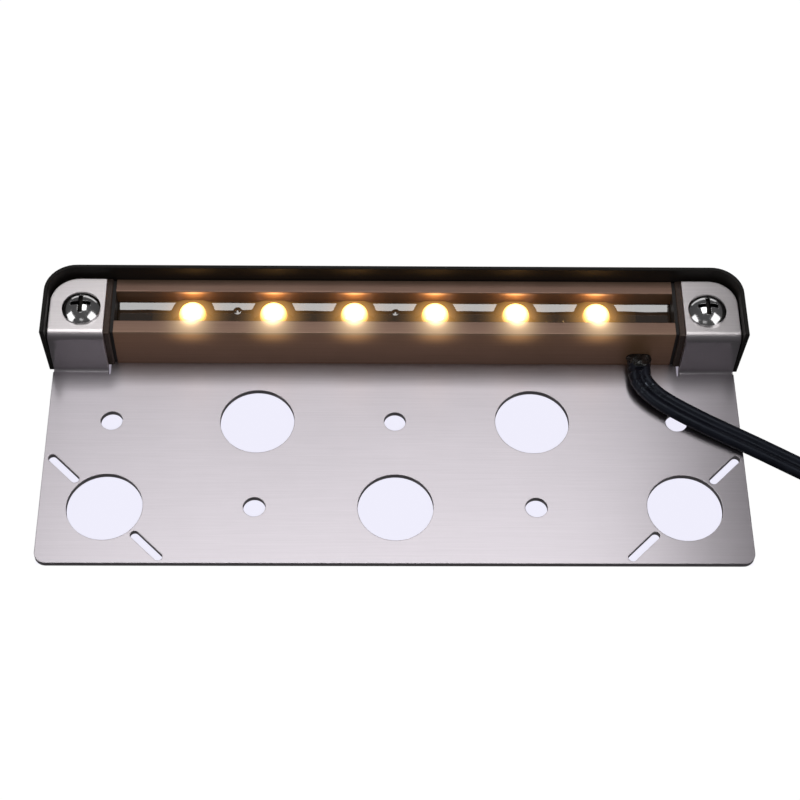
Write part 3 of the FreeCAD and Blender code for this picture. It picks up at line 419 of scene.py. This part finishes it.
def drawn_bronze():
    """Bronze with fine lines along the bar, with the LEDs' light painted as a glow at the channel's edges.
    """
    look = Look("drawn_bronze", (0.30, 0.185, 0.145), 0.4, 0.85)
    lines = look.noise(2600, 2, (0.012, 1, 1))
    clouds = look.noise(70, 3)
    look.vary_colour(look.maths("ADD", look.maths("MULTIPLY", lines, 0.6),
                                look.maths("MULTIPLY", clouds, 0.4)), 0.9, 1.1)
    look.vary_rough(clouds, 0.36, 0.46)
    look.relief(lines, 0.000006)
    rail_edge, far_edge = [corner.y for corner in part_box("potting_resin")]
    rail_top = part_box("light_bar_body")[1].z
    # Painted glow on the near rail: a bloom and a halo round each LED.
    bloom = falloff(look, led_distance(look, rail_edge + 1.2 * MM, rail_top), *RAIL_BLOOM)
    halo = falloff(look, led_distance(look, rail_edge, rail_top, 1.1, 1.5), *RAIL_HALO)
    # A painted glint along the far wall's top edge over each LED.
    painted_glint = falloff(look, led_distance(look, far_edge, rail_top - 0.6 * MM, 0.14), *WALL_PAINTED_GLINT)
    depth, height = look.axes()[1:]
    near_top = look.ramp(height, 0, 1, rail_top - 1.2 * MM, rail_top - 0.1 * MM)
    # The painted glow's colour, paler near the rail's top.
    look.feed("Emission Color", look.mixed(near_top, (1.0, 0.50, 0.19, 1), (1.0, 0.70, 0.38, 1)))
    # A faint painted glow over the front wall, stronger towards its top and weaker over the rail.
    painted_wash = look.maths("MULTIPLY", look.ramp(height, 0.012, 0.035, 3 * MM, rail_top),
                      look.ramp(depth, 1.0, 0.4, 21 * MM, rail_edge))
    glow = look.maths("ADD", look.maths("ADD", painted_glint, painted_wash), look.maths("ADD", bloom, halo))
    look.feed("Emission Strength", glow)
    return look


def cap_bronze():
    """Darker, speckled coat of the end caps."""
    look = Look("cap_bronze", (0.085, 0.058, 0.046), 0.36, 0.35)
    speckle = look.noise(1800, 4)
    look.vary_colour(speckle, 0.8, 1.2)
    look.vary_rough(speckle, 0.3, 0.45)
    look.relief(speckle, 0.00002, 0.0002)
    return look


def satin_black():
    """The hood's black coat, with a little orange peel."""
    look = Look("satin_black", (0.010, 0.0085, 0.0075), 0.55, **{"Specular IOR Level": 0.3})
    peel = look.noise(1600, 3)
    look.vary_colour(look.noise(60, 3), 0.9, 1.1)
    look.vary_rough(look.noise(120, 3), 0.52, 0.62)
    look.relief(peel, 0.00001, 0.0001)
    return look


# ------------------------------------------------------------------ soft and moulded looks
MOULDED_CELLS = 1500
# The sealant's smear on the cord fades out over these distances beside and before the exit.
SMEAR_ASIDE = (8 * MM, 12 * MM)
SMEAR_BEFORE = (9 * MM, 4 * MM)


def moulded(name, colour, rough):
    """A plain moulded or cast surface with fine relief and slightly uneven colour and gloss."""
    look = Look(name, colour, rough)
    grain = look.noise(MOULDED_CELLS, 3)
    look.vary_colour(grain, 0.88, 1.12)
    look.vary_rough(look.noise(MOULDED_CELLS / 8, 3), rough * 0.88, min(rough * 1.15, 1.0))
    look.relief(grain, 0.00001)
    return look


def sheath_black():
    """Dull black sheath, smeared with glossy sealant where it leaves the bar."""
    look = Look("sheath_black", (0.0045, 0.005, 0.0095), 0.4,
                **{"Specular IOR Level": 0.3, "Specular Tint": (0.75, 0.84, 1.0, 1)})
    scuffs = look.noise(350, 5)
    look.vary_colour(scuffs, 0.75, 1.5)
    x, y = look.axes()[:2]
    near_exit = look.maths("MULTIPLY", look.ramp(x, 1, 0, *[CORD_EXIT.x + away for away in SMEAR_ASIDE]),
                           look.ramp(y, 0, 1, *[CORD_EXIT.y - away for away in SMEAR_BEFORE]))
    smear = look.maths("MULTIPLY", near_exit, look.ramp(look.noise(900, 3), 0, 1, 0.5, 0.6))
    look.feed("Roughness", look.maths("SUBTRACT", look.ramp(scuffs, 0.34, 0.5),
                                      look.maths("MULTIPLY", smear, 0.26)))
    look.feed("Specular IOR Level", look.maths("ADD", 0.3, look.maths("MULTIPLY", smear, 0.5)))
    look.relief(look.maths("ADD", look.maths("MULTIPLY", scuffs, 0.1), smear), 0.0003)
    return look


def wet_sealant():
    """Glossy, lumpy black sealant."""
    look = Look("wet_sealant", (0.008, 0.008, 0.008), 0.16)
    lumps = look.noise(700, 4)
    look.vary_colour(lumps, 0.7, 1.4)
    look.vary_rough(look.noise(1500, 3), 0.08, 0.35)
    look.relief(lumps, 0.0003)
    return look


def clear_resin():
    """Clear resin over the dark board, with a painted glow round each LED."""
    look = Look("clear_resin", (0.042, 0.025, 0.012), 0.04, IOR=2.6, Alpha=0.92)
    look.vary_colour(look.noise(200, 3), 0.9, 1.1)
    look.vary_rough(look.noise(400, 3), 0.03, 0.06)
    look.relief(look.noise(160, 2), 0.00002)
    # A painted glow round each LED: a hot core, a skirt and a faint haze.
    away = led_radius(look)
    core, skirt, glow_haze = [falloff(look, away, *part) for part in (RESIN_CORE, RESIN_SKIRT, RESIN_GLOW_HAZE)]
    look.shader.inputs["Emission Color"].default_value = (1.0, 0.50, 0.13, 1)
    look.feed("Emission Strength", look.maths("ADD", core, look.maths("ADD", skirt, glow_haze)))
    return look


def glowing(name, colour, strength):
    """A moulded surface that gives off light of its own colour."""
    look = moulded(name, colour, 0.3)
    look.shader.inputs["Emission Color"].default_value = (*colour, 1)
    look.shader.inputs["Emission Strength"].default_value = strength
    return look


def twisted_copper():
    """Bare copper, dulled in patches."""
    look = Look("twisted_copper", (0.72, 0.40, 0.25), 0.28, 1.0)
    dull = look.noise(1500, 4)
    look.vary_colour(dull, 0.75, 1.1)
    look.vary_rough(dull, 0.22, 0.4)
    look.relief(dull, 0.00001)
    return look


# ------------------------------------------------------------------ potting resin
RESIN_CELL = 0.35 * MM
RESIN_LEVEL = 10.5 * MM
# The climb up the far wall: where it starts behind the channel's middle, and how it steepens.
CLIMB_LINE = 2.15 * MM
CLIMB_START_SLOPE = 0.12
CLIMB_GROWTH = 55.0
# The ridge round each LED: how far it reaches along the bar, its slope and its height.
RIDGE_REACH = 5.5 * MM
RIDGE_SLOPE = 0.42
RIDGE_HIGH = 1.2 * MM
NEAR_CLIMB = 0.5 * MM
# The low waves in the climb's edge: their height and two wavelengths over tau.
WAVE_HIGH = 0.14 * MM
WAVE_RUNS = (7.3 * MM, 3.1 * MM)
# Each dome: a foot that widens below the lip, and a rounded side as a superellipse.
DOME_RADIUS = 3.5 * MM
DOME_FOOT = 4.3 * MM
DOME_LIP = 0.35 * MM
DOME_TOP = 13.5 * MM
DOME_POWER = 3.2
# Bubbles set in the surface: place along the bar, behind the channel's middle, and radius.
BUBBLES = [(-41.0 * MM, 2.0 * MM, 0.8 * MM), (0.2 * MM, 1.7 * MM, 0.7 * MM)]
BUBBLE_RISE = 0.4


def resin_height(x, behind, half):
    """The resin's level over the channel, at a place along the bar and behind the channel's middle."""
    wave = WAVE_HIGH * math.sin(x / WAVE_RUNS[0]) * math.sin(x / WAVE_RUNS[1] + 1)
    run = behind - CLIMB_LINE - wave
    high = RESIN_LEVEL
    if run > 0:
        high += CLIMB_START_SLOPE * run + CLIMB_GROWTH * run ** 2
    elif behind < 0:
        high += NEAR_CLIMB * (-behind / half) ** 4
    clear = min(abs(x - place) for place in LED_XS)
    high = max(high, RESIN_LEVEL + min(RIDGE_SLOPE * (RIDGE_REACH - clear), RIDGE_HIGH))
    for place, line, radius in BUBBLES:
        away = math.hypot(x - place, behind - line) / radius
        if away < 1:
            high += BUBBLE_RISE * radius * (1 - away * away)
    return high


def dome_profile(steps=14):
    """Radius and height of a resin dome, from its foot to its top."""
    profile = [(DOME_FOOT, RESIN_LEVEL)]
    for step in range(steps + 1):
        rise = math.sin(math.pi / 2 * step / steps)
        radius = DOME_RADIUS * (1 - rise ** DOME_POWER) ** (1 / DOME_POWER)
        height = RESIN_LEVEL + DOME_LIP + (DOME_TOP - RESIN_LEVEL - DOME_LIP) * rise
        profile.append((radius, height))
    return profile


def dome_mesh(middle, first, count=48):
    """Points and faces of one resin dome, numbered from first."""
    points = []
    profile = dome_profile()
    for radius, height in profile:
        for step in range(count):
            angle = math.tau * step / count
            points.append((middle.x + radius * math.cos(angle), middle.y + radius * math.sin(angle), height))
    return points, wall_faces(len(profile), count, first)


def build_resin():
    """The resin as a closed block with a shaped top, and a dome over each LED."""
    low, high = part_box("potting_resin")
    middle, half = (low.y + high.y) / 2, (high.y - low.y) / 2
    columns = round((high.x - low.x) / RESIN_CELL)
    rows = round((high.y - low.y) / RESIN_CELL)
    xs = [low.x + (high.x - low.x) * index / columns for index in range(columns + 1)]
    ys = [low.y + (high.y - low.y) * index / rows for index in range(rows + 1)]
    top = [(x, y, resin_height(x, y - middle, half)) for x in xs for y in ys]
    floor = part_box("led_board")[1].z
    base = [(x, y, floor) for x in xs for y in ys]
    stride, under = rows + 1, len(top)
    faces = []
    for column in range(columns):
        for row in range(rows):
            corner = column * stride + row
            faces.append((corner, corner + stride, corner + stride + 1, corner + 1))
    below = [tuple(index + under for index in reversed(face)) for face in faces]
    rim = ([column * stride for column in range(columns + 1)]
           + [columns * stride + row for row in range(1, stride)]
           + [column * stride + rows for column in range(columns - 1, -1, -1)]
           + list(range(rows - 1, 0, -1)))
    sides = []
    for here, following in zip(rim, rim[1:] + rim[:1]):
        sides.append((here, here + under, following + under, following))
    points, faces = top + base, faces + below + sides
    for place in LED_XS:
        dome, dome_faces = dome_mesh(Vector((place, middle, 0)), len(points))
        points += dome
        faces += dome_faces
    piece = mesh_piece("resin_fill", points, faces)
    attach(piece, "root")
    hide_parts("potting_resin")


build_resin()


# ------------------------------------------------------------------ sealant bead
SEAL_RINGS = 18
SEAL_STEPS = 32
# The bead's half width and half height, as shares of the CAD seal's box.
SEAL_HALF_WIDE = 0.46
SEAL_HALF_HIGH = 0.43
# It slims along its run, and faster past SEAL_END, where it shrinks into the cord.
SEAL_SLIM = 0.12
SEAL_END = 0.8
SEAL_END_SLIM = 0.35


def build_seal():
    """A lumpy bead that runs out along the cord."""
    low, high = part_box("cord_seal")
    middle = (low + high) / 2
    half_wide = (high.x - low.x) * SEAL_HALF_WIDE
    half_high = (high.z - low.z) * SEAL_HALF_HIGH
    points = []
    for ring in range(SEAL_RINGS):
        share = ring / (SEAL_RINGS - 1)
        y = high.y + (low.y - high.y) * share
        end = max(0, (share - SEAL_END) / (1 - SEAL_END))
        swell = 1 - SEAL_SLIM * share ** 2 - SEAL_END_SLIM * end ** 2
        for step in range(SEAL_STEPS):
            angle = math.tau * step / SEAL_STEPS
            lump = 1 + 0.05 * math.sin(3 * angle + 5 * share) + 0.04 * math.sin(7 * angle - 9 * share + 2)
            points.append((middle.x + half_wide * math.cos(angle) * swell * lump, y,
                           middle.z + half_high * math.sin(angle) * swell * lump))
    piece = mesh_piece("sealant_bead", points, tube_faces(SEAL_RINGS, SEAL_STEPS))
    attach(piece, "root")
    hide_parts("cord_seal")


build_seal()


# ------------------------------------------------------------------ who wears what
POLISHED = polished_steel()
paint(brushed_steel(), "mounting_plate")
paint(satin_black(), "hood")
paint(drawn_bronze(), "light_bar_body")
paint(cap_bronze(), "end_cap_left", "end_cap_right")
paint(moulded("gasket_rubber", (0.016, 0.013, 0.012), 0.55),
      "end_gasket_left", "end_gasket_right", "cord_grommet")
paint(POLISHED, "bracket_screw_left", "bracket_screw_right")
paint(moulded("thermal_tape", (0.75, 0.75, 0.72), 0.8), "thermal_tape")
paint(moulded("lamp_board", (0.035, 0.028, 0.022), 0.4), "led_board")
paint(moulded("led_package", (0.85, 0.83, 0.78), 0.35), *[f"led_emitter_{number}" for number in LED_NUMBERS])
paint(glowing("led_dome", (1.0, 0.72, 0.34), 9.0), *[f"led_lens_{number}" for number in LED_NUMBERS])
paint(clear_resin(), "resin_fill", "potting_resin")
paint(moulded("red_insulation", (0.5, 0.02, 0.02), 0.45), "led_lead_red", "inner_core_near")
paint(moulded("black_insulation", (0.02, 0.02, 0.02), 0.45),
      "led_lead_black", "inner_core_far", "cord_end_cores")
paint(moulded("insulating_pad", (0.45, 0.5, 0.58), 0.85), "driver_pad")
paint(moulded("driver_board", (0.03, 0.16, 0.07), 0.4), "driver_board")
paint(moulded("component_black", (0.03, 0.03, 0.03), 0.5),
      "bridge_rectifier", "surge_diode", "driver_chip", "sense_resistor")
paint(moulded("component_grey", (0.16, 0.16, 0.17), 0.6), "inductor")
paint(moulded("component_tan", (0.5, 0.38, 0.24), 0.5), "smoothing_capacitor")
paint(POLISHED, "lead_solder")
paint(wet_sealant(), "sealant_bead", "cord_seal")
paint(sheath_black(), "supply_cord", "cord_tube", "cord_coil", "cord_inlet")
paint(moulded("tie_strap", (0.03, 0.03, 0.03), 0.6), "cord_tie")
paint(twisted_copper(), "cord_end_strands")


# ------------------------------------------------------------------ floor and light
FLOOR_HALF = 3.0
# Painted shade on the floor: under the plate, and darker under the bar.
UNDER_PLATE_PAINTED_SHADE = (0.85, 0.84, 0.96)
UNDER_BAR_PAINTED_SHADE = (0.30, 0.28, 0.33)
# Where the painted shade under the plate turns into the darker painted shade under the bar.
BAR_SHADE_FROM = 14.5 * MM
BAR_SHADE_TO = 16.5 * MM
SHADE_EDGE = 1 * MM


def build_floor():
    """A white floor that throws no light back, with painted shade under the plate and darker painted shade
    under the bar.
    """
    corners = [(x * FLOOR_HALF, y * FLOOR_HALF, 0) for x, y in ((-1, -1), (1, -1), (1, 1), (-1, 1))]
    floor = mesh_piece("floor", corners, [(0, 1, 2, 3)], smooth=False)
    look = Look("pale_floor", (0.02, 0.02, 0.02), 0.9)
    low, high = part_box("mounting_plate")
    places = look.axes()
    inside = []
    for place, start, end in list(zip(places, low, high))[:2]:
        away = look.maths("ABSOLUTE", look.maths("SUBTRACT", place, (start + end) / 2))
        inside.append(look.ramp(away, 1, 0, (end - start) / 2 - SHADE_EDGE, (end - start) / 2))
    under_bar = look.ramp(places[1], 0, 1, BAR_SHADE_FROM, BAR_SHADE_TO)
    shade = look.mixed(under_bar, (*UNDER_PLATE_PAINTED_SHADE, 1), (*UNDER_BAR_PAINTED_SHADE, 1))
    look.feed("Emission Color", look.mixed(look.maths("MULTIPLY", *inside), (1, 1, 1, 1), shade))
    look.shader.inputs["Emission Strength"].default_value = 1.0
    floor.data.materials.append(look.material)
    floor.visible_diffuse = False
    floor.visible_glossy = False


# The room's radiance, from just below the horizon to straight above.
ROOM_LEVEL = 0.06
OVERHEAD_LEVEL = 0.09
ROOM_BOTTOM = -0.2
LAMP_MIDDLE = Vector((0, 20, 8)) * MM
SOFTBOX_DISTANCE = 1.0
# Each softbox: name, the way to it from the lamp, width, depth, radiance.
SOFTBOXES = [
    ("overhead_box", (-0.02, 0.225, 0.974), 0.56, 0.56, 2.35),
    ("left_box", (-0.80, -0.33, 0.50), 0.62, 0.55, 1.5),
    ("right_box", (0.68, -0.33, 0.655), 0.62, 0.55, 1.5),
    ("front_box", (-0.10, -0.70, 0.71), 0.28, 0.16, 0.5),
    ("back_box", (0.0, 0.97, 0.25), 1.40, 0.20, 0.8),
]
# The small light over each LED: power, colour, radius and height.
SPARK_POWER = 0.0002
SPARK_COLOUR = (1.0, 0.56, 0.20)
SPARK_RADIUS = 1.2 * MM
SPARK_HEIGHT = 14.6 * MM


def softbox(name, way, wide, deep, radiance):
    """A rectangle of light, aimed at the lamp, with the power that gives it its radiance."""
    light = bpy.data.lights.new(name, "AREA")
    light.shape = "RECTANGLE"
    light.size, light.size_y = wide, deep
    light.energy = radiance * math.pi * wide * deep
    box = bpy.data.objects.new(name, light)
    box.location = LAMP_MIDDLE + Vector(way).normalized() * SOFTBOX_DISTANCE
    box.rotation_euler = Vector(way).to_track_quat("Z", "Y").to_euler()
    bpy.context.scene.collection.objects.link(box)


def build_light():
    """A dim room, softboxes round the lamp, and the LEDs' own light."""
    world = bpy.data.worlds.new("studio")
    world.use_nodes = True
    tree = world.node_tree
    way = tree.nodes.new("ShaderNodeTexCoord")
    axes = tree.nodes.new("ShaderNodeSeparateXYZ")
    level = tree.nodes.new("ShaderNodeMapRange")
    level.inputs["From Min"].default_value = ROOM_BOTTOM
    level.inputs["To Min"].default_value = ROOM_LEVEL
    level.inputs["To Max"].default_value = OVERHEAD_LEVEL
    tree.links.new(way.outputs["Generated"], axes.inputs[0])
    tree.links.new(axes.outputs["Z"], level.inputs["Value"])
    tree.links.new(level.outputs[0], tree.nodes["Background"].inputs["Strength"])
    tree.nodes["Background"].inputs["Color"].default_value = (1.0, 0.985, 1.0, 1)
    bpy.context.scene.world = world
    for box in SOFTBOXES:
        softbox(*box)
    for number, x in enumerate(LED_XS, start=1):
        spark = bpy.data.lights.new(f"led_light_{number}", "POINT")
        spark.energy = SPARK_POWER
        spark.color = SPARK_COLOUR
        spark.shadow_soft_size = SPARK_RADIUS
        point = bpy.data.objects.new(spark.name, spark)
        point.location = (x, LED_LINE.y, SPARK_HEIGHT)
        bpy.context.scene.collection.objects.link(point)


build_floor()
build_light()
bpy.context.scene.view_settings.view_transform = "Standard"
